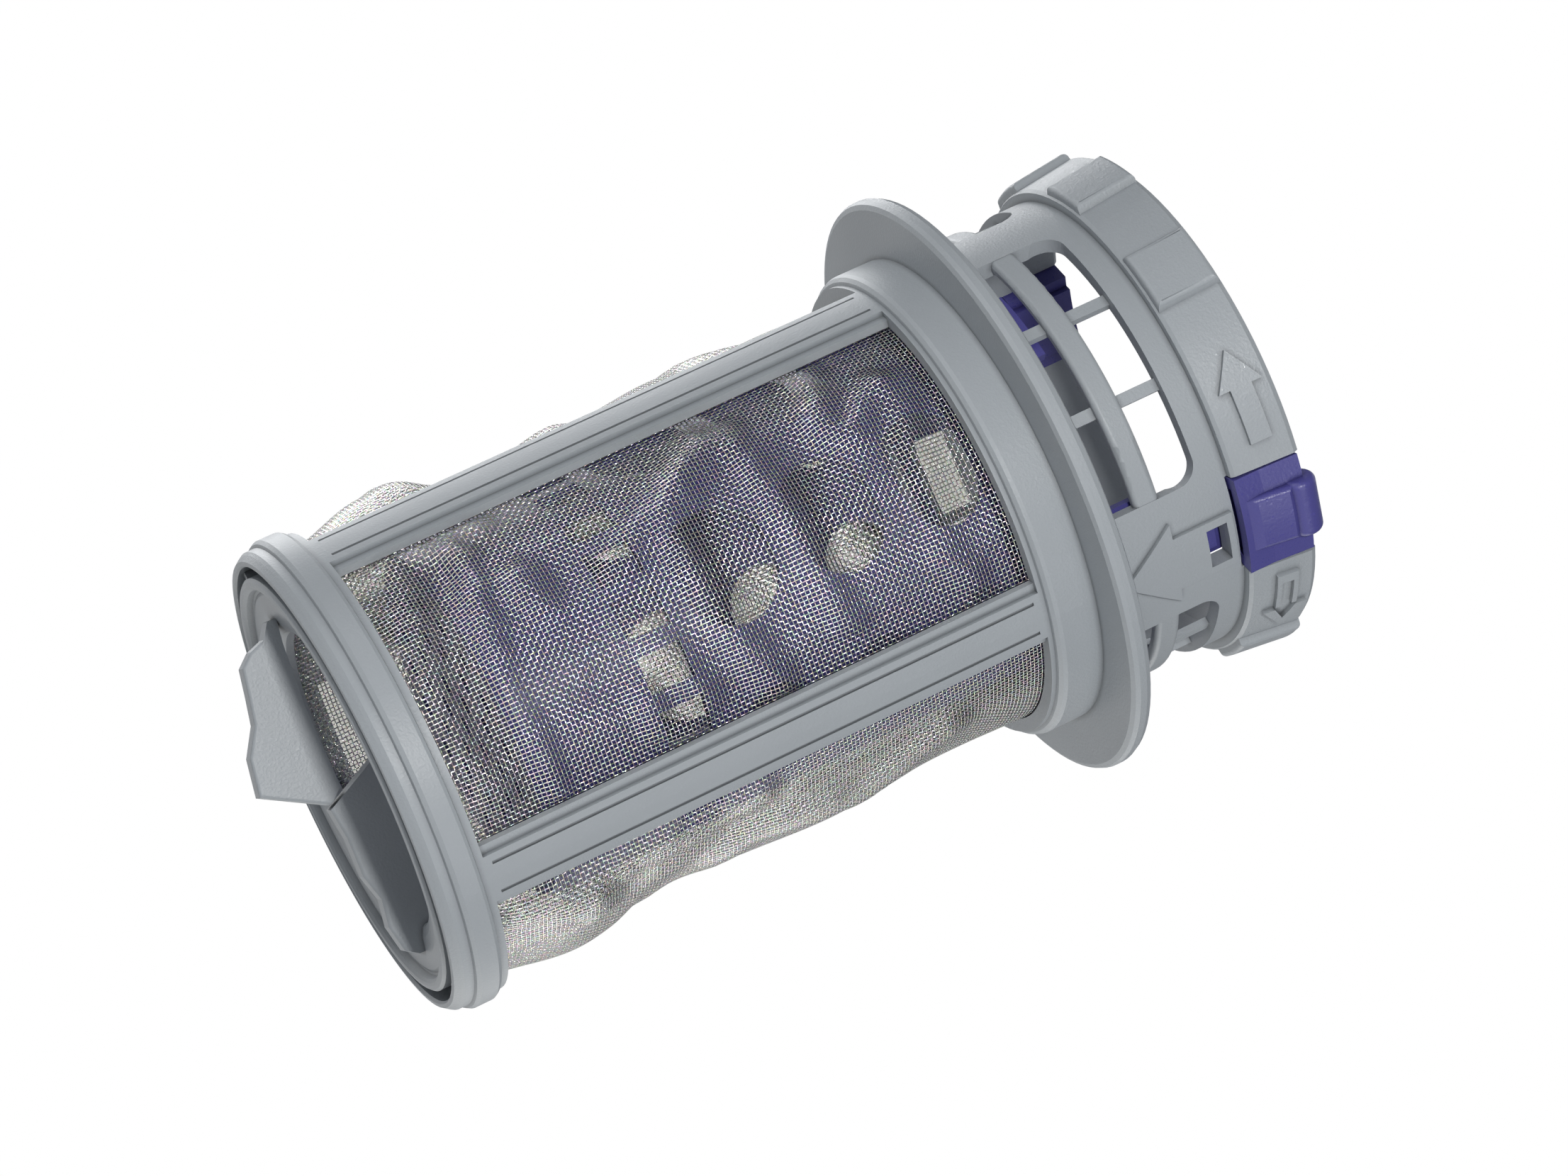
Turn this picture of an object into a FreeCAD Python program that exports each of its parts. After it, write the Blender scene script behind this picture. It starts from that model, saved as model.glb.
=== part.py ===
import FreeCAD, Part
import math
import os

# Dishwasher filter: a moulded body with a mesh sleeve and a lift-out coarse filter.
# All sizes are in millimetres. The axis is Z, from the lower end up to the grip ring.
# Height zero is the underside of the flange that rests in the sump.
# Angle zero is the middle of a release tab, which is the +X side.

# The posts' outer radius drives the other radii
POST_OUT_R = 34.4
POST_T = 2.0
POST_IN_R = POST_OUT_R - POST_T

# Lower end
END_Z = -100.5
BEAD_R = POST_OUT_R + 0.9
BAND_R = POST_OUT_R + 0.1
LIP_R = BAND_R - 0.9
STEP_Z = END_Z + 3.2
BEAD_TOP_Z = END_Z + 7.1
GAP_OUT_R = LIP_R - 0.9
GAP_IN_R = GAP_OUT_R - 1.6
GAP_DEPTH = 4.2
INNER_LIP_W = 1.8
MOUTH_R = GAP_IN_R - 9.1
WEB_DEG = 2.5
WEB_COUNT = 4

# Mesh sleeve and the posts that hold it
MESH_T = 0.4
MESH_OUT_R = POST_IN_R
MESH_IN_R = MESH_OUT_R - MESH_T
MESH_LOW_Z = END_Z + 4.9
MESH_TOP_Z = -3.6
WINDOW_LOW_Z = END_Z + 8.2
WINDOW_TOP_Z = -7.5
WINDOWS = [(-86.5, -8.8), (8.0, 75.0), (93.5, 171.2), (188.0, 255.0)]
BORDER = 1.3
BORDER_R = POST_OUT_R - 0.8
GROOVE_W = 0.5
GROOVE_DEPTH = 0.35

# Collar and flange
COLLAR_R = POST_OUT_R + 1.2
COLLAR_LOW_Z = -6.2
COLLAR_IN_R = POST_IN_R - 2.2
LEDGE_Z = 0.8
FLANGE_R = COLLAR_R + 8.4
FLANGE_T = 3.2

# Cage above the flange
CAGE_R = POST_OUT_R - 0.1
CAGE_T = 2.2
CAGE_IN_R = CAGE_R - CAGE_T
CAGE_TOP_Z = 24.0
SLOT_LOW_Z = 4.4
SLOT_TOP_Z = 19.8
SLOT_CORNER = 3.2
CAGE_WINDOWS = [(-88.5, -15.0), (19.0, 74.0), (91.5, 165.0), (199.0, 254.0)]
RIB_LOW_Z = 9.7
RIB_TOP_Z = 13.5
RIB_IN_R = CAGE_R - 1.5
RIB_SOFT = 0.8
BAR_W = 1.8
BAR_OUT_R = CAGE_IN_R + 0.9
BAR_IN_R = CAGE_IN_R - 0.2

# Grip ring
RING_LOW_R = CAGE_R + 1.7
RING_TOP_R = RING_LOW_R + 1.1
RING_TOP_Z = 34.0
RING_IN_R = RING_TOP_R - 3.5
LOBE_H = 1.2
LOBE_HALF_DEG = 8.6
LOBE_FLANK_DEG = 1.8
LOBE_SOFT = 0.7
LOBES = [-129.0, -95.0, -61.0]
NOTCH_HALF_DEG = 12.9
NOTCH_LOW_Z = 23.4

# Marks
MARK_H = 0.65
ARROW_DEG = 2.6
ARROW_TIP_Z = 5.0
ARROW_HEAD_Z = 13.4
ARROW_TAIL_Z = 22.8
ARROW_HEAD_W = 13.2
ARROW_SHAFT_W = 8.6
RING_ARROW_L = 13.4
RING_ARROW_HEAD = 5.4
RING_ARROW_W = 6.6
RING_SHAFT_W = 3.2
RING_ARROW_DEG = 29.0
HOLE_W = 6.2
HOLE_LOW_Z = 18.5
HOLE_TOP_Z = 21.8

# Fins below the lower end, in one plane through the axis. Each corner is its distance
# in from the mouth's edge, where the fin is rooted, and its drop below the lower end.
FIN_DEG = -121.5
FIN_FRONT = 0.5
FIN_BACK = 3.4
FIN_A = [(22.0, -0.1), (23.8, 2.1), (18.8, 10.6), (13.4, 9.6), (9.5, 7.1), (5.6, 6.2),
         (1.8, 5.4), (0.2, 3.5), (-0.6, 1.1), (-2.6, -0.3), (-2.6, -1.7), (1.0, -1.1),
         (10.0, -0.3)]
FIN_B = [(23.6, -8.1), (23.6, -5.9), (19.6, 2.4), (15.0, 1.9), (9.4, 2.1), (5.5, 1.1),
         (1.6, 1.8), (-2.2, 1.1), (-3.4, -0.6), (-3.4, -1.7), (-0.2, -3.1), (0.6, -8.1)]
FIN_EDGE = 0.5

# Coarse filter
CUP_R = COLLAR_IN_R - 4.2
CUP_T = 1.6
CUP_LOW_Z = -81.0
RIM_R = CAGE_IN_R - 0.5
RIM_T = 2.0
RIM_Z = LEDGE_Z
LEG_OUT_R = CAGE_IN_R - 0.7
LEG_IN_R = LEG_OUT_R - CUP_T
LEG_HALF_DEG = 15.6
LEG_TOP_Z = 11.6
EAR_HALF_DEG = 11.0
EAR_TOP_Z = 8.6
EARS = [-70.0, 110.0]
SLOT_ROWS = [(-44.5, 14.0), (-27.5, 12.0), (-12.0, 11.0)]
SLOT_DEG = -47.0
SLOT_COUNT = 6
SLOT_HALF_DEG = 19.0
SQUARE_COUNT = 20
SQUARE_W = 5.6
SQUARE_Z = -57.8
SQUARE_H = 6.6
FLOOR_HOLE_R = 1.6
FLOOR_ROW_R = [0.0, 6.5, 13.0, 19.0]
FLOOR_ROW_COUNT = [1, 6, 12, 18]

# Release tabs
TAB_GAP = 0.3
TAB_HALF_DEG = NOTCH_HALF_DEG - 0.5
ARM_HALF_DEG = 9.0
TAB_TOP_Z = 33.6
TAB_OUT_R = RING_TOP_R - 0.1
HEAD_LOW_Z = NOTCH_LOW_Z + TAB_GAP
CATCH_R = 2.4
CATCH_AT_R = TAB_OUT_R - 0.8
CATCH_AT_Z = TAB_TOP_Z - 0.6
CATCH_W = 9.0
SADDLE_W = 8.6
SADDLE_H = 1.1
NOSE_W = 4.8


def point(radius, degrees, height):
    angle = math.radians(degrees)
    return FreeCAD.Vector(radius * math.cos(angle), radius * math.sin(angle), height)


def turned(shape, degrees):
    copy = shape.copy()
    copy.rotate(FreeCAD.Vector(0, 0, 0), FreeCAD.Vector(0, 0, 1), degrees)
    return copy


def ring_solid(profile):
    points = [FreeCAD.Vector(r, 0, z) for r, z in profile]
    face = Part.Face(Part.makePolygon(points + points[:1]))
    return face.revolve(FreeCAD.Vector(0, 0, 0), FreeCAD.Vector(0, 0, 1), 360)


def sector(inner, outer, low, high, start, end):
    points = [(inner, low), (outer, low), (outer, high), (inner, high), (inner, low)]
    face = Part.Face(Part.makePolygon([FreeCAD.Vector(r, 0, z) for r, z in points]))
    solid = face.revolve(FreeCAD.Vector(0, 0, 0), FreeCAD.Vector(0, 0, 1), end - start)
    return turned(solid, start)


def box_at(radius, degrees, low, high, width, depth):
    block = Part.makeBox(depth, width, high - low, FreeCAD.Vector(radius, -width / 2, low))
    return turned(block, degrees)


def flat_mark(outline, start_x, depth):
    points = [FreeCAD.Vector(start_x, y, z) for y, z in outline]
    face = Part.Face(Part.makePolygon(points + points[:1]))
    return face.extrude(FreeCAD.Vector(depth, 0, 0))


def lower_end():
    lip = ring_solid([
        (MOUTH_R, END_Z + 2.9), (MOUTH_R + 0.3, END_Z + 2.4), (MOUTH_R + 1.6, END_Z + 1.8),
        (MOUTH_R + 4.0, END_Z + 1.3), (GAP_IN_R - INNER_LIP_W - 1.1, END_Z + 1.2),
        (GAP_IN_R - INNER_LIP_W - 0.6, END_Z + 1.4), (GAP_IN_R - INNER_LIP_W - 0.2, END_Z + 1.3),
        (GAP_IN_R - INNER_LIP_W, END_Z + 0.5), (GAP_IN_R - INNER_LIP_W + 0.4, END_Z + 0.1),
        (GAP_IN_R - 1.0, END_Z), (GAP_IN_R - 0.4, END_Z + 0.1), (GAP_IN_R, END_Z + 0.5),
        (GAP_IN_R, END_Z + GAP_DEPTH), (GAP_OUT_R, END_Z + GAP_DEPTH),
        (GAP_OUT_R, END_Z + 0.7), (GAP_OUT_R + 0.3, END_Z + 0.3), (LIP_R, END_Z + 0.4),
        (BAND_R - 0.3, END_Z + 1.2), (BAND_R, END_Z + 1.7), (BAND_R, STEP_Z - 0.2),
        (BEAD_R - 0.35, STEP_Z), (BEAD_R, STEP_Z + 0.6), (BEAD_R, BEAD_TOP_Z - 0.7),
        (BEAD_R - 0.3, BEAD_TOP_Z - 0.2), (POST_OUT_R, BEAD_TOP_Z), (POST_OUT_R, WINDOW_LOW_Z),
        (POST_IN_R, WINDOW_LOW_Z), (POST_IN_R, MESH_LOW_Z), (POST_IN_R - 4.0, MESH_LOW_Z),
        (MOUTH_R + 3.0, END_Z + 3.9), (MOUTH_R, END_Z + 4.1)])
    webs = [sector(GAP_IN_R - 0.2, GAP_OUT_R + 0.2, END_Z + 1.6, END_Z + GAP_DEPTH + 0.2,
                   (i + 0.5) * 360 / WEB_COUNT - WEB_DEG / 2, (i + 0.5) * 360 / WEB_COUNT + WEB_DEG / 2)
            for i in range(WEB_COUNT)]
    return lip.multiFuse(webs)


def fin(outline, low, high):
    points = [FreeCAD.Vector(MOUTH_R - inset, low, END_Z - drop) for inset, drop in outline]
    face = Part.Face(Part.makePolygon(points + points[:1]))
    solid = face.extrude(FreeCAD.Vector(0, high - low, 0))
    rims = [e for e in solid.Edges if e.BoundBox.YLength < 0.01 and e.BoundBox.ZMax < END_Z - 1.0]
    return solid.makeFillet(FIN_EDGE, rims)


def posts():
    tube = sector(POST_IN_R, POST_OUT_R, WINDOW_LOW_Z - 0.5, COLLAR_LOW_Z + 0.5, 0, 360)
    cuts = []
    for start, end in WINDOWS:
        cuts.append(sector(POST_IN_R - 1, POST_OUT_R + 1, WINDOW_LOW_Z, WINDOW_TOP_Z, start, end))
        side = math.degrees(BORDER / POST_OUT_R)
        cuts.append(sector(BORDER_R, POST_OUT_R + 1, WINDOW_LOW_Z - BORDER / 2,
                           WINDOW_TOP_Z + BORDER / 2, start - side, end + side))
    spans = [(WINDOWS[i - 1][1] % 360, WINDOWS[i][0] % 360) for i in range(len(WINDOWS))]
    for low, high in spans:
        width = (high - low) % 360
        for part in (0.26, 0.74):
            middle = low + width * part
            cuts.append(box_at(POST_OUT_R - GROOVE_DEPTH, middle, WINDOW_LOW_Z + 1,
                               WINDOW_TOP_Z - 1, GROOVE_W, 2))
    return tube.cut(Part.makeCompound(cuts))


def collar_and_flange():
    return ring_solid([
        (POST_IN_R, MESH_TOP_Z), (POST_IN_R, WINDOW_TOP_Z), (POST_OUT_R, WINDOW_TOP_Z),
        (POST_OUT_R, COLLAR_LOW_Z - 0.6), (POST_OUT_R + 0.5, COLLAR_LOW_Z - 0.45),
        (COLLAR_R - 0.2, COLLAR_LOW_Z), (COLLAR_R, COLLAR_LOW_Z + 0.6), (COLLAR_R, 0.0),
        (FLANGE_R - 1.0, 0.0), (FLANGE_R - 0.3, 0.35), (FLANGE_R, 1.0),
        (FLANGE_R, FLANGE_T - 1.2), (FLANGE_R - 0.4, FLANGE_T - 0.4),
        (FLANGE_R - 1.2, FLANGE_T), (CAGE_R + 0.6, FLANGE_T), (CAGE_R, FLANGE_T + 0.6),
        (CAGE_R, SLOT_LOW_Z), (CAGE_IN_R, SLOT_LOW_Z), (CAGE_IN_R, LEDGE_Z),
        (COLLAR_IN_R, LEDGE_Z), (COLLAR_IN_R, MESH_TOP_Z)])


def cage():
    tube = sector(CAGE_IN_R, CAGE_R, SLOT_LOW_Z - 0.5, SLOT_TOP_Z + 2.0, 0, 360)
    cuts = []
    ribs = []
    bars = []
    for start, end in CAGE_WINDOWS:
        middle = (start + end) / 2
        inset = math.degrees(SLOT_CORNER / CAGE_R)
        low, high = SLOT_LOW_Z, SLOT_TOP_Z
        cuts.append(sector(BAR_IN_R - 1, CAGE_R + 1, low, high - SLOT_CORNER, start, end))
        cuts.append(sector(BAR_IN_R - 1, CAGE_R + 1, high - SLOT_CORNER - 0.1, high,
                           start + inset, end - inset))
        for angle in (start + inset, end - inset):
            turn = Part.makeCylinder(SLOT_CORNER, 6, FreeCAD.Vector(CAGE_IN_R - 2, 0, high - SLOT_CORNER),
                                     FreeCAD.Vector(1, 0, 0))
            cuts.append(turned(turn, angle))
        rib = sector(RIB_IN_R, CAGE_R - 0.05, RIB_LOW_Z, RIB_TOP_Z, start - 1, end + 1)
        rims = [e for e in rib.Edges if e.Length > 20 and e.BoundBox.ZLength < 0.01
                and e.Curve.Radius > CAGE_R - 0.2]
        ribs.append(rib.makeFillet(RIB_SOFT, rims))
        for part in (1 / 3, 2 / 3):
            bars.append(box_at(BAR_IN_R, start + (end - start) * part, SLOT_LOW_Z - 0.8,
                               SLOT_TOP_Z + 0.8, BAR_W, BAR_OUT_R - BAR_IN_R))
    return tube.cut(Part.makeCompound(cuts)), ribs, bars


def grip_ring():
    wall = ring_solid([
        (CAGE_IN_R, SLOT_TOP_Z + 1.5), (CAGE_R, SLOT_TOP_Z + 1.5), (CAGE_R, CAGE_TOP_Z - 0.2),
        (RING_LOW_R - 0.4, CAGE_TOP_Z - 0.2), (RING_LOW_R, CAGE_TOP_Z + 0.3),
        (RING_TOP_R, RING_TOP_Z - 0.8), (RING_TOP_R - 0.5, RING_TOP_Z),
        (RING_IN_R + 0.5, RING_TOP_Z), (RING_IN_R, RING_TOP_Z - 0.6),
        (RING_IN_R, CAGE_TOP_Z + 2.6), (CAGE_IN_R, CAGE_TOP_Z + 1.2)])
    lobes = []
    for centre in LOBES:
        for turn in (0, 180):
            lobes.append(lobe(centre + turn))
    whole = wall.multiFuse(lobes)
    for turn in (0, 180):
        whole = whole.cut(sector(CAGE_IN_R - 2, RING_TOP_R + 4, NOTCH_LOW_Z, RING_TOP_Z + 2,
                                 turn - NOTCH_HALF_DEG, turn + NOTCH_HALF_DEG))
    return whole


def lobe(centre):
    low_wire = lobe_wire(centre, CAGE_TOP_Z + 0.1, RING_LOW_R)
    top_wire = lobe_wire(centre, RING_TOP_Z - 0.5, RING_TOP_R)
    solid = Part.makeLoft([low_wire, top_wire], True, True)
    crests = [e for e in solid.Edges if e.BoundBox.ZLength > 6
              and math.hypot(e.CenterOfMass.x, e.CenterOfMass.y) > RING_LOW_R + LOBE_H]
    ends = [e for e in solid.Edges if e.BoundBox.ZLength < 0.01 and e.Length > 5
            and math.hypot(e.CenterOfMass.x, e.CenterOfMass.y) > RING_LOW_R + 0.4]
    return solid.makeFillet(LOBE_SOFT, crests + ends)


def lobe_wire(centre, height, radius):
    inner = radius - 0.9
    outer = radius + LOBE_H
    foot = LOBE_HALF_DEG
    top = LOBE_HALF_DEG - LOBE_FLANK_DEG
    a, b = point(inner, centre - foot, height), point(outer, centre - top, height)
    c, d = point(outer, centre + top, height), point(inner, centre + foot, height)
    outer_arc = Part.Arc(b, point(outer, centre, height), c).toShape()
    inner_arc = Part.Arc(d, point(inner, centre, height), a).toShape()
    return Part.Wire([Part.makeLine(a, b), outer_arc, Part.makeLine(c, d), inner_arc])


def cage_arrow():
    half_head = ARROW_HEAD_W / 2
    half_shaft = ARROW_SHAFT_W / 2
    outline = [(0, ARROW_TIP_Z), (half_head, ARROW_HEAD_Z), (half_shaft, ARROW_HEAD_Z),
               (half_shaft, ARROW_TAIL_Z), (-half_shaft, ARROW_TAIL_Z),
               (-half_shaft, ARROW_HEAD_Z), (-half_head, ARROW_HEAD_Z)]
    block = flat_mark(outline, CAGE_R - 2.0, 4.0)
    skin = sector(CAGE_R - 0.6, CAGE_R + MARK_H, ARROW_TIP_Z - 1, ARROW_TAIL_Z + 1, -20, 20)
    return turned(block.common(skin), ARROW_DEG)


def ring_mark(centre, tip_sign, hollow):
    length = RING_ARROW_L
    head = RING_ARROW_HEAD
    half_head = RING_ARROW_W / 2
    half_shaft = RING_SHAFT_W / 2
    middle = (CAGE_TOP_Z + RING_TOP_Z) / 2 + 0.2
    outline = [(tip_sign * length / 2, middle), (tip_sign * (length / 2 - head), middle + half_head),
               (tip_sign * (length / 2 - head), middle + half_shaft),
               (-tip_sign * length / 2, middle + half_shaft),
               (-tip_sign * length / 2, middle - half_shaft),
               (tip_sign * (length / 2 - head), middle - half_shaft),
               (tip_sign * (length / 2 - head), middle - half_head)]
    block = flat_mark(outline, RING_LOW_R - 3.0, 7.0)
    if hollow:
        inner = [((y - tip_sign * 0.3) * 0.72, middle + (z - middle) * 0.55) for y, z in outline]
        block = block.cut(flat_mark(inner, RING_LOW_R - 3.5, 8.0))
    skin = ring_solid([(RING_LOW_R - 0.4, CAGE_TOP_Z + 0.4), (RING_LOW_R + MARK_H, CAGE_TOP_Z + 0.4),
                       (RING_TOP_R + MARK_H, RING_TOP_Z - 0.9), (RING_TOP_R - 0.4, RING_TOP_Z - 0.9)])
    return turned(block.common(skin), centre)


def filter_body():
    cage_wall, ribs, bars = cage()
    fins = [turned(fin(FIN_A, -FIN_BACK, FIN_FRONT), FIN_DEG),
            turned(fin(FIN_B, -FIN_FRONT, FIN_BACK), FIN_DEG + 180)]
    shape = lower_end().multiFuse(fins + [posts(), collar_and_flange(), cage_wall, grip_ring()]
                                  + ribs + bars)
    for turn in (0, 180):
        shape = shape.fuse(turned(cage_arrow(), turn))
        shape = shape.cut(box_at(CAGE_IN_R - 2, ARROW_DEG + turn, HOLE_LOW_Z, HOLE_TOP_Z, HOLE_W, 8))
        shape = shape.fuse(ring_mark(turn - RING_ARROW_DEG, -1, False))
        shape = shape.fuse(ring_mark(turn + RING_ARROW_DEG - 2, 1, True))
    return shape.removeSplitter()


def steel_mesh():
    return sector(MESH_IN_R, MESH_OUT_R, MESH_LOW_Z, MESH_TOP_Z, 0, 360)


def round_slot(centre_deg, height, tall, half_deg):
    radius = tall / 2
    inset = math.degrees(radius / CUP_R)
    pieces = [sector(CUP_R - CUP_T - 1, CUP_R + 1, height - radius, height + radius,
                     centre_deg - half_deg + inset, centre_deg + half_deg - inset)]
    for side in (-1, 1):
        end = Part.makeCylinder(radius, 5, FreeCAD.Vector(CUP_R - 3.5, 0, height), FreeCAD.Vector(1, 0, 0))
        pieces.append(turned(end, centre_deg + side * (half_deg - inset)))
    return pieces


def coarse_filter():
    wall = ring_solid([
        (0, CUP_LOW_Z), (CUP_R - 1.4, CUP_LOW_Z), (CUP_R - 0.4, CUP_LOW_Z + 0.4),
        (CUP_R, CUP_LOW_Z + 1.4), (CUP_R, -3.0), (COLLAR_IN_R - 0.6, RIM_Z - 1.6),
        (COLLAR_IN_R - 0.6, RIM_Z), (RIM_R, RIM_Z), (RIM_R, RIM_Z + RIM_T - 0.4),
        (RIM_R - 0.4, RIM_Z + RIM_T), (LEG_IN_R, RIM_Z + RIM_T), (LEG_IN_R, RIM_Z + 0.4),
        (CUP_R - CUP_T, -2.4), (CUP_R - CUP_T, CUP_LOW_Z + 1.8), (0, CUP_LOW_Z + 1.8)])
    cuts = []
    for height, tall in SLOT_ROWS:
        for i in range(SLOT_COUNT):
            cuts += round_slot(i * 360 / SLOT_COUNT + SLOT_DEG, height, tall, SLOT_HALF_DEG)
    for i in range(SQUARE_COUNT):
        cuts.append(box_at(CUP_R - CUP_T - 1, i * 360 / SQUARE_COUNT + 10.0, SQUARE_Z - SQUARE_H / 2,
                           SQUARE_Z + SQUARE_H / 2, SQUARE_W, 4))
    for radius, count in zip(FLOOR_ROW_R, FLOOR_ROW_COUNT):
        for i in range(count):
            spot = point(radius, i * 360 / count, CUP_LOW_Z - 1)
            cuts.append(Part.makeCylinder(FLOOR_HOLE_R, 4, spot, FreeCAD.Vector(0, 0, 1)))
    shape = wall.cut(Part.makeCompound(cuts))
    uprights = []
    for turn in (0, 180):
        uprights.append(sector(LEG_IN_R, LEG_OUT_R, RIM_Z + 0.5, LEG_TOP_Z,
                               turn - LEG_HALF_DEG, turn + LEG_HALF_DEG))
    for middle in EARS:
        uprights.append(sector(LEG_IN_R, LEG_OUT_R, RIM_Z + 0.5, EAR_TOP_Z,
                               middle - EAR_HALF_DEG, middle + EAR_HALF_DEG))
    return shape.multiFuse(uprights).removeSplitter()


def release_tab(turn):
    arm = sector(LEG_IN_R, LEG_OUT_R, LEG_TOP_Z + TAB_GAP, TAB_TOP_Z, -ARM_HALF_DEG, ARM_HALF_DEG)
    head = sector(LEG_OUT_R - 0.6, TAB_OUT_R - 0.6, HEAD_LOW_Z, TAB_TOP_Z, -TAB_HALF_DEG, TAB_HALF_DEG)
    pad = ring_solid([(LEG_OUT_R, HEAD_LOW_Z), (RING_LOW_R, HEAD_LOW_Z), (TAB_OUT_R, TAB_TOP_Z),
                      (LEG_OUT_R, TAB_TOP_Z)])
    pad = pad.common(sector(LEG_OUT_R - 1, TAB_OUT_R + 2, HEAD_LOW_Z - 1, TAB_TOP_Z + 1,
                            -TAB_HALF_DEG, TAB_HALF_DEG))
    hollow = sector(LEG_OUT_R + 1.6, TAB_OUT_R - 2.4, HEAD_LOW_Z - 1, HEAD_LOW_Z + 6.5,
                    -TAB_HALF_DEG + 3, TAB_HALF_DEG - 3)
    saddle = ring_solid([(TAB_OUT_R - 2.5, HEAD_LOW_Z + 1.0), (RING_LOW_R + 0.4, HEAD_LOW_Z + 1.0),
                         (RING_LOW_R + SADDLE_H, HEAD_LOW_Z + 2.4), (TAB_OUT_R + SADDLE_H, TAB_TOP_Z - 3.0),
                         (TAB_OUT_R + 0.5, TAB_TOP_Z - 1.6), (TAB_OUT_R - 2.5, TAB_TOP_Z - 1.6)])
    width = Part.makeBox(10, SADDLE_W, 20, FreeCAD.Vector(RING_LOW_R - 3, -SADDLE_W / 2, HEAD_LOW_Z - 1))
    saddle = saddle.common(width)
    flanks = [e for e in saddle.Edges if e.BoundBox.YLength < 0.01 and e.BoundBox.ZLength > 4
              and e.BoundBox.XMin > RING_LOW_R]
    saddle = saddle.makeFillet(SADDLE_H * 0.9, flanks)
    catch = Part.makeCylinder(CATCH_R, CATCH_W, FreeCAD.Vector(CATCH_AT_R, -CATCH_W / 2, CATCH_AT_Z),
                              FreeCAD.Vector(0, 1, 0))
    catch = catch.makeFillet(CATCH_R * 0.4, [e for e in catch.Edges if e.BoundBox.YLength < 0.01])
    nose = box_at(LEG_OUT_R - 0.5, ARROW_DEG, HOLE_LOW_Z + 0.6, HOLE_TOP_Z - 0.6, NOSE_W,
                  CAGE_IN_R - TAB_GAP - LEG_OUT_R + 0.5)
    shape = arm.multiFuse([head, pad, saddle, catch, nose]).cut(hollow)
    return turned(shape.removeSplitter(), turn)


def write_parts():
    os.makedirs("parts", exist_ok=True)
    filter_body().exportStep("parts/filter_body.step")
    steel_mesh().exportStep("parts/steel_mesh.step")
    coarse_filter().exportStep("parts/coarse_filter.step")
    release_tab(0).exportStep("parts/release_tab_a.step")
    release_tab(180).exportStep("parts/release_tab_b.step")


write_parts()
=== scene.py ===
# %% [markdown]
# The filter stands in its imported frame: Z runs from the lower end up to the grip ring,
# and height zero is the flange that seats in the sump.
# The grey body, the purple strainer and its tabs keep their meshes from model.glb.
# The smooth mesh sleeve is replaced by a woven, dented one.

# %% Load the frame
import bpy
import math
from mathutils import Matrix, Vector


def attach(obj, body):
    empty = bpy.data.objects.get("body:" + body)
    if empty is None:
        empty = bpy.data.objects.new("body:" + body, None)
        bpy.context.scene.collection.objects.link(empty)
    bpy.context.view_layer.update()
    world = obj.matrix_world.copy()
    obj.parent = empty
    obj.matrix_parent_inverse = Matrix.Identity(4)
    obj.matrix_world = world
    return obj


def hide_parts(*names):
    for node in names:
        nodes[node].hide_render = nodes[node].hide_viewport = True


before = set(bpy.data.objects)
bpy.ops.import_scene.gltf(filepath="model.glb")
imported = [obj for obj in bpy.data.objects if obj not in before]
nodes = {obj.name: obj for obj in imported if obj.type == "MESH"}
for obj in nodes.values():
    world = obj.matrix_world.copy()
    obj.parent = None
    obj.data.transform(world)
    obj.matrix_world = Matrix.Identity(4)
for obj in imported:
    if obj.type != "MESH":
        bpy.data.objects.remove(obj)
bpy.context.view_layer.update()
bpy.ops.object.select_all(action="DESELECT")
print("nodes", sorted(nodes))

# %% [markdown]
# Shader maths reads best as plain arithmetic. A small class wraps a node socket,
# so that a product or a sum of two sockets adds the Math node by itself.
# The alternative is long lists of node links, which hide what the pattern is.


# %% Shader helpers
class Value:
    """One output socket, with arithmetic that adds Math nodes."""

    def __init__(self, graph, socket):
        self.graph = graph
        self.socket = socket

    def _math(self, kind, other=None, swap=False):
        slots = [other, self] if swap else [self, other]
        inputs = {place: item for place, item in enumerate(slots) if item is not None}
        return self.graph.node("ShaderNodeMath", {"operation": kind}, inputs)

    def __add__(self, other):
        return self._math("ADD", other)

    def __radd__(self, other):
        return self._math("ADD", other, swap=True)

    def __sub__(self, other):
        return self._math("SUBTRACT", other)

    def __rsub__(self, other):
        return self._math("SUBTRACT", other, swap=True)

    def __mul__(self, other):
        return self._math("MULTIPLY", other)

    def __rmul__(self, other):
        return self._math("MULTIPLY", other, swap=True)

    def power(self, other):
        return self._math("POWER", other)

    def sine(self):
        return self._math("SINE")

    def cosine(self):
        return self._math("COSINE")

    def absolute(self):
        return self._math("ABSOLUTE")

    def above(self, other):
        return self._math("GREATER_THAN", other)

    def fraction(self):
        return self._math("FRACT")

    def whole(self):
        return self._math("FLOOR")

    def larger(self, other):
        return self._math("MAXIMUM", other)

    def smaller(self, other):
        return self._math("MINIMUM", other)


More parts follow.
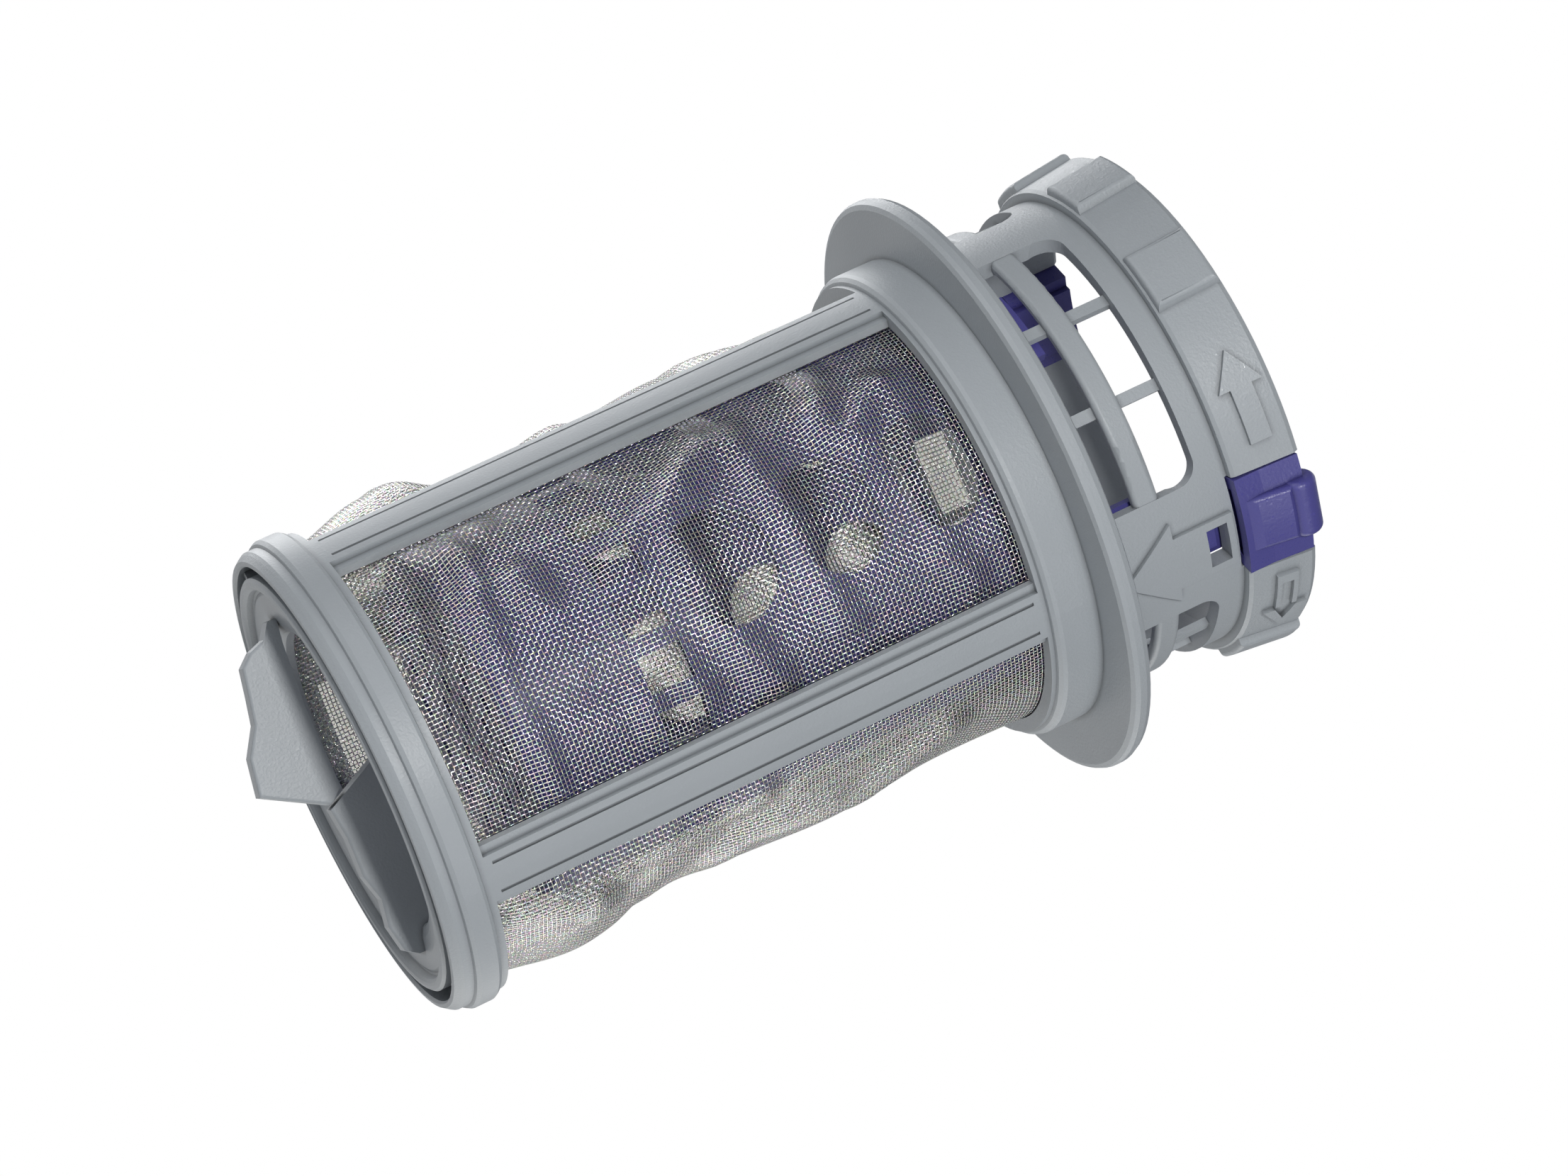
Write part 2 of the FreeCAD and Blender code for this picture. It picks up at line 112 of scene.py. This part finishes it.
class Graph:
    """The nodes of one material, or of the world."""

    def __init__(self, owner, shader, output):
        owner.use_nodes = True
        self.tree = owner.node_tree
        self.shader = self.tree.nodes[shader]
        self.output = self.tree.nodes[output]

    def node(self, kind, settings=None, inputs=None, output=0):
        made = self.tree.nodes.new(kind)
        for key, value in (settings or {}).items():
            setattr(made, key, value)
        for key, value in (inputs or {}).items():
            if isinstance(value, Value):
                self.tree.links.new(value.socket, made.inputs[key])
            else:
                made.inputs[key].default_value = value
        return Value(self, made.outputs[output])

    def fix(self, **values):
        for key, value in values.items():
            self.shader.inputs[key.replace("_", " ")].default_value = value

    def feed(self, key, value):
        self.tree.links.new(value.socket, self.shader.inputs[key])

    def blend(self, amount, first, second):
        return self.node("ShaderNodeMix", {"data_type": "RGBA"},
                         {0: amount, 6: first, 7: second}, output=2)

    def noise(self, place, scale, detail):
        return self.node("ShaderNodeTexNoise",
                         inputs={"Vector": place, "Scale": scale, "Detail": detail})

    def split(self, value):
        parts = self.node("ShaderNodeSeparateXYZ", inputs={0: value}).socket.node
        return [Value(self, part) for part in parts.outputs]

    def join(self, x, y, z):
        return self.node("ShaderNodeCombineXYZ", inputs={0: x, 1: y, 2: z})


def new_material(name):
    material = bpy.data.materials.new(name)
    return material, Graph(material, "Principled BSDF", "Material Output")


print("shader helpers ready")

# %% [markdown]
# The body is a grey polypropylene moulding. Its skin is satin, with a fine eroded grain
# whose peaks are glossier and are painted a lighter grey as a painted glint, and the grip
# ring has a coarser grain on top of the fine one, with a stronger painted glint on its peaks.
# The grain is a bump from noise: real relief this fine would need millions of faces.
# The raised arrows and lobes are as grey as the skin round them, and are read by the shade
# in their corners. The Ambient Occlusion node finds the corners, and a darker grey is
# blended in there. Real shade this small is washed out when light comes from all round.

# %% Grey plastic
GREY = (0.305, 0.330, 0.352, 1.0)
GREY_LIGHT = (0.355, 0.380, 0.405, 1.0)
MOTTLE = 60.0          # noise scale of the slow changes of tone, about 17 mm across
MOTTLE_SHARE = 0.5     # how much of the lighter tone the mottle brings
MOTTLE_ROUGH = 0.12    # and how much it changes the roughness
PAINTED_GLINT_SHARE = 0.35     # the same two for the peaks of the grain: their painted glint, and their real gloss
SPARK_ROUGH = 0.14
COARSE_GRAIN = 1700.0  # noise scale of the ring's grain, about 0.6 mm across
RING_LOW_Z = 0.0238    # height at which the grip ring starts
RING_GLINT = 1.6       # how much stronger the painted glint on its peaks is
RING_BUMP = 0.6        # and how high they stand beside the fine grain
RING_PEAKS = (0.64, 9.0)
FINE_PEAKS = (0.62, 6.0)
BUMP_STRENGTH = 0.5
CORNER_REACH = 0.0009  # how near a wall has to stand to shade the skin beside it
CORNER_GAIN = 1.5
CORNER_SHADE = 0.45    # colour in a corner, as a share of the colour outside


def peaks(noise, start, steepness):
    """Only the tops of a noise, from 0 at the start to 1."""
    return ((noise - start) * steepness).larger(0.0).smaller(1.0)


def satin_plastic(name, colour, light, rough, grain, grain_height):
    material, graph = new_material(name)
    place = graph.node("ShaderNodeTexCoord", output="Object")
    cloud = graph.noise(place, MOTTLE, 3.0)
    fleck = graph.noise(place, grain, 2.0)
    coarse = graph.noise(place, COARSE_GRAIN, 1.0)
    on_ring = graph.split(place)[2].above(RING_LOW_Z)
    glint = peaks(coarse, *RING_PEAKS) * on_ring
    painted_glint_and_gloss = peaks(fleck, *FINE_PEAKS).larger(glint * RING_GLINT)
    # The grain's peaks are painted a lighter colour here, which is a painted glint. Their lower
    # roughness further down is real gloss.
    skin = graph.blend(cloud * MOTTLE_SHARE + painted_glint_and_gloss * PAINTED_GLINT_SHARE, colour, light)
    open_sky = graph.node("ShaderNodeAmbientOcclusion", {"samples": 8, "only_local": True},
                          {"Distance": CORNER_REACH}, output="AO")
    shade = ((1.0 - open_sky) * CORNER_GAIN).smaller(1.0)
    corner = tuple(channel * CORNER_SHADE for channel in colour[:3]) + (1.0,)
    graph.feed("Base Color", graph.blend(shade, skin, corner))
    graph.feed("Roughness", rough + (cloud - 0.5) * MOTTLE_ROUGH - painted_glint_and_gloss * SPARK_ROUGH)
    height = fleck + coarse * on_ring * RING_BUMP
    graph.feed("Normal", graph.node("ShaderNodeBump", inputs={
        "Height": height, "Strength": BUMP_STRENGTH, "Distance": grain_height}))
    graph.fix(Specular_IOR_Level=0.45, IOR=1.49)
    return material


grey = satin_plastic("grey_plastic", GREY, GREY_LIGHT, 0.44, 2600.0, 0.00012)
print("made", grey.name)

# %% [markdown]
# The strainer and the tabs are a violet polypropylene, a little glossier than the body and
# with a shallower grain, so the same function makes it from other values.
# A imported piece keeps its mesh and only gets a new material.

# %% Purple plastic
PURPLE = (0.056, 0.053, 0.218, 1.0)
PURPLE_LIGHT = (0.080, 0.074, 0.285, 1.0)
purple = satin_plastic("purple_plastic", PURPLE, PURPLE_LIGHT, 0.38, 2200.0, 0.00007)


def dress(name, material):
    mesh = nodes[name].data
    mesh.materials.clear()
    mesh.materials.append(material)
    for face in mesh.polygons:
        face.material_index = 0
    print("dressed", name, "in", material.name)


dress("filter_body", grey)
for name in ("coarse_filter", "release_tab_a", "release_tab_b"):
    dress(name, purple)

# %% [markdown]
# The sleeve is stainless wire cloth held at four posts. Between the posts it has been
# pushed about in use, so each pane swells and has dents and creases.
# It is shaped as it would be by hand: a flat sheet is pulled out or pushed in at chosen
# places, bent round into a sleeve, and given the thickness of its wires.
# Bending comes after the pulls because a pull on a flat sheet has one plain direction.

# %% Flat cloth
MESH_R = 0.0322        # radius at which the posts hold the cloth
MESH_LOW = -0.0956
MESH_TOP = -0.0036
GIRTH = 2 * math.pi * MESH_R
TALL = MESH_TOP - MESH_LOW
AROUND = 240           # faces round the sleeve, and then along it
ALONG = 96

bpy.ops.mesh.primitive_grid_add(x_subdivisions=AROUND, y_subdivisions=ALONG, size=1.0,
                                location=(0, 0, (MESH_LOW + MESH_TOP) / 2),
                                rotation=(math.radians(90), 0, 0))
sleeve = bpy.context.object
sleeve.name = "mesh_sleeve"
sleeve.scale = (GIRTH, TALL, 1)
bpy.ops.object.transform_apply(location=True, rotation=True, scale=True)
sheet = sleeve.data
print("flat sheet", round(GIRTH * 1000, 1), "by", round(TALL * 1000, 1), "mm")

# %% [markdown]
# A pane is the cloth between two posts, and each has its two sides as angles from +X.
# A place on a pane is given as shares across and along it. One function turns that into
# a place on the flat sheet, where a quarter turn is added because the bend will start there.
# Only the cloth inside a pane may move: the rest is hidden in edit mode, and a hidden
# vertex stays where it is, as cloth does under a moulded post.

# %% Places on the panes
PANES = [(-86.5, -8.8), (8.0, 75.0), (93.5, 171.2), (188.0, 255.0)]
WINDOW_LOW = -0.0923
WINDOW_TOP = -0.0075
HELD = 0.0008          # strip along a pane's sides that the moulding keeps still


def flat_x(angle):
    turned = (angle + 270) % 360 - 180
    return math.radians(turned) * MESH_R


def on_pane(pane, across, along):
    low, high = PANES[pane]
    x = flat_x(low) + across * math.radians(high - low) * MESH_R
    return x, WINDOW_LOW + along * (WINDOW_TOP - WINDOW_LOW)


def hold_all_but(pane):
    left, bottom = on_pane(pane, 0, 0)
    right, top = on_pane(pane, 1, 1)
    for vertex in sheet.vertices:
        x, z = vertex.co.x, vertex.co.z
        between_posts = left + HELD < x < right - HELD
        vertex.hide = not (between_posts and bottom + HELD < z < top - HELD)


for pane in range(len(PANES)):
    print("pane", pane, "starts at x", round(on_pane(pane, 0, 0)[0] * 1000, 1), "mm")

# %% [markdown]
# Each pull below is one move with proportional editing: the vertices along a short line
# are grabbed and moved, and their neighbours follow less and less out to the reach.
# One place alone makes a dent or a swelling, and a chain of places makes a crease.
# A cloth simulation would crease the sheet too, but not where the real one is creased.

# %% Dents and creases
GRAB = 0.00066         # vertices nearer to the line than this are grabbed

# Each pull is: pane, reach in millimetres, height in millimetres (outward is positive),
# and its places across and along the pane.
PULLS = [
    (0, 22.0, 0.7, [(0.50, 0.25), (0.50, 0.75)]),
    (0, 7.0, -1.0, [(0.20, 0.12)]),
    (0, 8.0, -0.8, [(0.60, 0.09)]),
    (0, 9.0, -1.0, [(0.45, 0.31), (0.66, 0.30)]),
    (0, 8.0, -0.8, [(0.75, 0.60)]),
    (0, 8.0, -0.8, [(0.35, 0.75)]),
    (0, 3.6, 0.9, [(0.04, 0.08), (0.07, 0.16), (0.04, 0.23)]),
    (0, 4.0, 0.8, [(0.16, 0.09), (0.34, 0.05), (0.51, 0.04), (0.74, 0.04), (0.89, 0.06)]),
    (0, 3.0, 0.9, [(0.14, 0.18), (0.39, 0.16), (0.61, 0.14), (0.80, 0.15), (0.96, 0.15)]),
    (0, 4.0, 1.0, [(0.30, 0.24), (0.47, 0.27), (0.46, 0.36), (0.25, 0.51), (0.12, 0.60)]),
    (0, 3.8, 1.1, [(0.15, 0.66), (0.24, 0.56), (0.39, 0.49), (0.59, 0.49), (0.81, 0.52),
                   (0.96, 0.55)]),
    (0, 3.6, 0.9, [(0.23, 0.66), (0.50, 0.67), (0.71, 0.67), (0.87, 0.69)]),
    (0, 3.6, 1.0, [(0.05, 0.83), (0.28, 0.80), (0.34, 0.84), (0.22, 0.91)]),
    (0, 3.4, 0.8, [(0.22, 0.94), (0.58, 0.90), (0.81, 0.88), (0.91, 0.91)]),
    (0, 2.8, 0.9, [(0.79, 0.34), (0.92, 0.34), (0.95, 0.39), (0.90, 0.43), (0.80, 0.40)]),
    (0, 3.4, 0.7, [(0.63, 0.27), (0.59, 0.37), (0.84, 0.43)]),
    (1, 12.0, 1.4, [(0.30, 0.12)]),
    (1, 14.0, 1.9, [(0.70, 0.14)]),
    (1, 11.0, -1.7, [(0.65, 0.33)]),
    (1, 12.0, -1.2, [(0.30, 0.42)]),
    (1, 17.0, 0.9, [(0.62, 0.62)]),
    (1, 12.0, -0.8, [(0.50, 0.86)]),
    (1, 5.0, 1.2, [(0.12, 0.05), (0.12, 0.10), (0.30, 0.17)]),
    (1, 4.8, 1.2, [(0.16, 0.18), (0.12, 0.26), (0.16, 0.36), (0.13, 0.47)]),
    (1, 5.4, 1.0, [(0.75, 0.30), (0.40, 0.46), (0.45, 0.67), (0.30, 0.82)]),
    (2, 12.0, -1.6, [(0.40, 0.25)]),
    (2, 13.0, 1.4, [(0.60, 0.45)]),
    (2, 12.0, -1.2, [(0.40, 0.72)]),
    (2, 4.0, 1.1, [(0.10, 0.10), (0.45, 0.20), (0.52, 0.38), (0.90, 0.48)]),
    (2, 3.8, 1.0, [(0.12, 0.50), (0.42, 0.58), (0.66, 0.52), (0.92, 0.66)]),
    (2, 3.6, 0.9, [(0.20, 0.90), (0.46, 0.80), (0.80, 0.86)]),
    (3, 12.0, 2.6, [(0.72, 0.13)]),
    (3, 13.0, -1.4, [(0.62, 0.36)]),
    (3, 14.0, 1.2, [(0.55, 0.66)]),
    (3, 12.0, 0.8, [(0.50, 0.86)]),
    (3, 4.6, 1.2, [(0.20, 0.06), (0.40, 0.16), (0.86, 0.20)]),
    (3, 4.2, 1.1, [(0.15, 0.42), (0.50, 0.36), (0.84, 0.46)]),
    (3, 4.2, 1.0, [(0.25, 0.84), (0.52, 0.72), (0.88, 0.78)]),
]


def gap_to_line(x, z, start, end):
    """Distance from a place to the nearest place on a short line."""
    run_x, run_z = end[0] - start[0], end[1] - start[1]
    length = run_x * run_x + run_z * run_z
    share = ((x - start[0]) * run_x + (z - start[1]) * run_z) / length if length else 0.0
    share = max(0.0, min(1.0, share))
    return math.hypot(x - start[0] - share * run_x, z - start[1] - share * run_z)


def pull(places, reach, height):
    """Move the vertices along a line, with the cloth around them following."""
    spans = list(zip(places, places[1:])) or [(places[0], places[0])]
    left = min(x for x, z in places) - GRAB
    right = max(x for x, z in places) + GRAB
    for vertex in sheet.vertices:
        x, z = vertex.co.x, vertex.co.z
        close = left < x < right and not vertex.hide
        vertex.select = close and min(gap_to_line(x, z, *span) for span in spans) < GRAB
    bpy.ops.object.mode_set(mode="EDIT")
    bpy.ops.transform.translate(value=(0, -height, 0), use_proportional_edit=True,
                                proportional_edit_falloff="SMOOTH", proportional_size=reach)
    bpy.ops.mesh.select_all(action="DESELECT")
    bpy.ops.object.mode_set(mode="OBJECT")


bpy.ops.object.mode_set(mode="EDIT")
bpy.ops.mesh.select_all(action="DESELECT")
bpy.ops.object.mode_set(mode="OBJECT")
for pane in range(len(PANES)):
    hold_all_but(pane)
    for where, reach, height, places in PULLS:
        if where == pane:
            pull([on_pane(pane, *place) for place in places], reach / 1000, height / 1000)
depths = [vertex.co.y * 1000 for vertex in sheet.vertices]
print("cloth moved from", round(min(depths), 2), "to", round(max(depths), 2), "mm")

# %% [markdown]
# The Simple Deform modifier bends the sheet once round. The two edges then meet behind
# a post, and merging them closes the seam. Solidify adds the inner side of the wires,
# so that the holes close when the cloth is seen at a slant, as they do in real wire cloth.

# %% Bend into a sleeve
CLOTH_T = 0.00008
SEAM = 0.00001         # vertices nearer than this are one

bpy.ops.object.mode_set(mode="EDIT")
bpy.ops.mesh.reveal(select=False)
bpy.ops.object.mode_set(mode="OBJECT")
bpy.ops.object.modifier_add(type="SIMPLE_DEFORM")
bend = sleeve.modifiers[-1]
bend.deform_method = "BEND"
bend.deform_axis = "Z"
bend.angle = 2 * math.pi
bpy.ops.object.modifier_apply(modifier=bend.name)
sleeve.location = (0, -MESH_R, 0)
bpy.ops.object.transform_apply(location=True, rotation=True, scale=True)
bpy.ops.object.mode_set(mode="EDIT")
bpy.ops.mesh.select_all(action="SELECT")
bpy.ops.mesh.remove_doubles(threshold=SEAM)
bpy.ops.object.mode_set(mode="OBJECT")
bpy.ops.object.shade_smooth()
bpy.ops.object.modifier_add(type="SOLIDIFY")
thick = sleeve.modifiers[-1]
thick.thickness = CLOTH_T
thick.offset = -1.0
thick.use_rim = False
bpy.ops.object.modifier_apply(modifier=thick.name)
radii = [math.hypot(vertex.co.x, vertex.co.y) * 1000 for vertex in sheet.vertices]
print("sleeve radius", round(min(radii), 2), "to", round(max(radii), 2), "mm")
print("sleeve faces", len(sheet.polygons))

# %% [markdown]
# The weave itself is a shader pattern in metres on the cloth: two sets of round wires
# cross at a pitch of 0.6 mm, each wire passes over and under the next, and alpha lets
# the light through the square holes between them.
# Wires modelled one by one would be hundreds of tubes with hundreds of bends each.
# Steel shows little but reflections, so what matters is which way each bit of wire faces.
# That is worked out from the round of the wire and the slope of its rise and fall, and
# goes into a Normal Map node. A bump from the same heights would blur at this size.

# %% Woven steel
CLOTH_MAP = sheet.uv_layers.active.name
PITCH = 0.00060
WIRE = 0.28            # thickness of a wire, as a share of the pitch
CRIMP = 0.45           # rise of a wire over the next, as a share of its half thickness
SLOPE = CRIMP * math.pi * WIRE / 2
EDGE = 0.02            # roundness below which there is no wire
LIFTED = 2.0           # keeps every height of a wire above the zero of a hole
SHIMMER = 0.25         # share of the small tints in which steel breaks up a flash
STEEL = (0.66, 0.65, 0.62, 1.0)


def wire_set(place, course, over, side):
    """Lean, roundness, height and slope of parallel wires that run along the course."""
    lean = (place.fraction() - 0.5) * (2 / WIRE)
    roundness = (1.0 - lean * lean).larger(0.0).power(0.5)
    height = roundness + over * (course * math.pi).sine().absolute() * (CRIMP * side)
    slope = over * (course.fraction() * math.pi).cosine() * (SLOPE * side)
    return lean, roundness, height, slope


def woven_steel():
    material, graph = new_material("steel_weave")
    shares = graph.split(graph.node("ShaderNodeUVMap", {"uv_map": CLOTH_MAP}))
    across = shares[0] * (GIRTH / PITCH)
    along = shares[1] * (TALL / PITCH)
    over = ((across.whole() + along.whole()) * 0.5).fraction() * 4.0 - 1.0
    up_lean, up_round, up_height, up_slope = wire_set(across, along, over, 1)
    flat_lean, flat_round, flat_height, flat_slope = wire_set(along, across, over, -1)
    is_up = up_round.above(EDGE)
    is_flat = flat_round.above(EDGE)
    on_top = (is_up * (up_height + LIFTED)).above(is_flat * (flat_height + LIFTED))
    below = 1.0 - on_top
    lean_across = on_top * up_lean - below * flat_round * flat_slope
    lean_along = below * flat_lean - on_top * up_round * up_slope
    facing = on_top * up_round + below * flat_round
    tilt = graph.join(*(part * 0.5 + 0.5 for part in (lean_across, lean_along, facing)))
    graph.feed("Normal", graph.node("ShaderNodeNormalMap",
                                    {"space": "TANGENT", "uv_map": CLOTH_MAP}, {"Color": tilt}))
    half_wire = graph.join((across * 2.0).whole(), (along * 2.0).whole(), 0.0)
    tint = graph.node("ShaderNodeTexWhiteNoise", inputs={"Vector": half_wire}, output="Color")
    graph.feed("Base Color", graph.blend(SHIMMER, STEEL, tint))
    graph.feed("Alpha", is_up.larger(is_flat))
    graph.fix(Metallic=0.97, Roughness=0.19)
    return material


sleeve.data.materials.append(woven_steel())
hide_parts("steel_mesh")
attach(sleeve, "housing")
print("woven", round(GIRTH / PITCH), "by", round(TALL / PITCH), "wires")

# %% [markdown]
# A wide pale floor lies far below, because the filter is seen from below its flange and
# a near floor would hide it. Floor and world are plain white to the camera, and the floor
# is white in reflections too. The light that falls on the object is soft and weaker.
# Behind the cloth the photograph's backdrop is a grey beige. Light Path's Transparent
# Depth counts the see-through faces that a ray has passed, so that tone is shown there.

# %% Stage and light
WHITE = (1.0, 1.0, 1.0, 1.0)
VEILED = (0.50, 0.50, 0.47, 1.0)
PAPER = (0.86, 0.86, 0.86, 1.0)
SKY = (0.92, 0.95, 1.0, 1.0)
SKY_STRENGTH = 0.23
FLOOR_SIZE = 24.0
FLOOR_Z = -1.2


def show_plain(graph, kind, rays):
    """Let the given rays see plain white, and the veiled tone behind cloth."""
    behind_cloth = graph.node("ShaderNodeLightPath", output="Transparent Depth").above(0.5)
    plain = graph.node(kind, inputs={"Color": graph.blend(behind_cloth, WHITE, VEILED)})
    shown = graph.node("ShaderNodeLightPath", output=rays[0])
    for ray in rays[1:]:
        shown = shown.larger(graph.node("ShaderNodeLightPath", output=ray))
    lit = Value(graph, graph.shader.outputs[0])
    choice = graph.node("ShaderNodeMixShader", inputs={0: shown, 1: lit, 2: plain})
    graph.tree.links.new(choice.socket, graph.output.inputs["Surface"])


bpy.ops.mesh.primitive_plane_add(size=FLOOR_SIZE, location=(0, 0, FLOOR_Z))
floor = bpy.context.object
floor.name = "floor"
paper, graph = new_material("floor_paper")
graph.fix(Base_Color=PAPER, Roughness=0.9)
show_plain(graph, "ShaderNodeEmission", ["Is Camera Ray", "Is Glossy Ray", "Is Transmission Ray"])
floor.data.materials.append(paper)

world = bpy.data.worlds.new("studio")
bpy.context.scene.world = world
graph = Graph(world, "Background", "World Output")
graph.fix(Color=SKY, Strength=SKY_STRENGTH)
show_plain(graph, "ShaderNodeBackground", ["Is Camera Ray"])
print("floor", FLOOR_SIZE, "m wide at", FLOOR_Z, "m")

# %% [markdown]
# The camera's place and turn come from fitting circles of the filter to the photograph,
# which looks lit by a flash near the lens. A small lamp close to the camera does the same.
# Broad lamps fill in from below and from above, and three of them stand beyond the filter,
# so that its far side is lit as well when it is seen from there.
# All are hidden from the camera, because another view could have one in the picture.

# %% Camera and lamps
CAMERA_PLACE = Vector((0.55411, -0.39127, -0.21555))
CAMERA_TURN = [math.radians(angle) for angle in (122.579, -60.877, 25.498)]
AIM = Vector((0, 0, -0.03))

# Each lamp is: name, its place right of, above and behind the camera in metres, its
# size, its power in watts and its colour. A negative last place is in front of it.
LAMPS = [
    ("key", (0.14, 0.06, 0.0), 0.06, 3.1, (1.0, 0.99, 0.97)),
    ("fill", (0.35, -0.4, -0.30), 0.30, 0.9, (0.97, 0.98, 1.0)),
    ("bounce", (0.0, -0.52, -1.0), 0.6, 1.9, (0.99, 0.99, 0.97)),
    ("top", (-0.25, 0.45, -0.35), 0.30, 0.75, (0.97, 0.98, 1.0)),
    ("back", (-0.30, 0.45, -1.30), 0.5, 3.4, (0.98, 0.99, 1.0)),
    ("side", (0.55, 0.30, -1.20), 0.5, 0.8, (0.98, 0.99, 1.0)),
]

bpy.ops.object.camera_add(location=CAMERA_PLACE, rotation=CAMERA_TURN)
camera = bpy.context.object
camera.data.lens = 114.86
camera.data.sensor_width = 36.0
camera.data.clip_start = 0.01
camera.data.clip_end = 20.0
bpy.context.scene.camera = camera

for name, offset, size, power, colour in LAMPS:
    place = CAMERA_PLACE + camera.rotation_euler.to_matrix() @ Vector(offset)
    bpy.ops.object.light_add(type="AREA", location=place)
    lamp = bpy.context.object
    lamp.name = name
    lamp.data.size = size
    lamp.data.energy = power
    lamp.data.color = colour
    lamp.rotation_euler = (AIM - place).to_track_quat("-Z", "Y").to_euler()
    lamp.visible_camera = False
    print("lamp", name, "stands", round((AIM - place).length, 2), "m away")
bpy.context.scene.view_settings.view_transform = "Standard"
